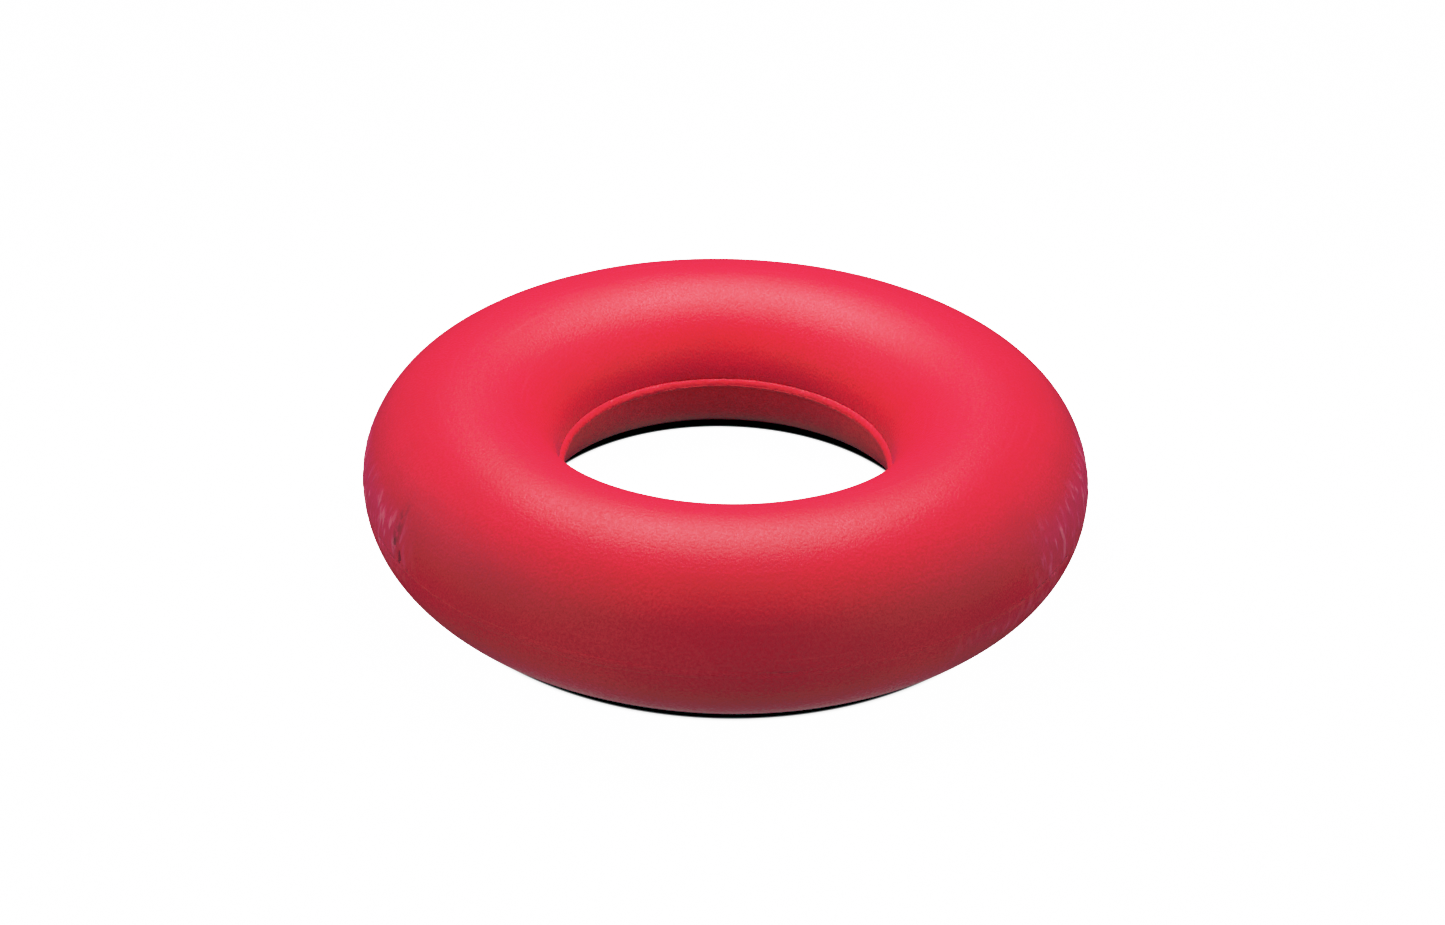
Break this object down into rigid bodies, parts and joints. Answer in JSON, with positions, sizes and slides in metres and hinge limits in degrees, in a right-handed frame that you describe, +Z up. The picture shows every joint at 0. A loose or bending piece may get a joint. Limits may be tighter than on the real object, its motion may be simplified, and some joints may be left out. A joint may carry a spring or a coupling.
{
  "type": "juggling ring",
  "caption": "Fat, soft rubber ring for throwing, catching and juggling: hollow half shells bonded rim to rim, with a raised seam line round the hole.",
  "frame": {"origin": "centre of the circle that the ring rests on, in the plane of its underside", "axes": "+Z up along the ring's own axis, through the middle of the hole; X and Y lie in the rest plane and are alike, because the ring is round"},
  "size_m": [0.1704, 0.1704, 0.0414],
  "materials": {
    "moulded_rubber": "matt to satin red rubber, smooth as moulded, scuffed along the outer seam",
    "bond_rubber": "matt red rubber cement, a little brighter than the shells"
  },
  "bodies": {
    "root": {"upper_half_shell": "moulded_rubber", "lower_half_shell": "moulded_rubber", "hole_seam_bond": "bond_rubber", "outer_seam_bond": "bond_rubber"}
  },
  "joints": []
}
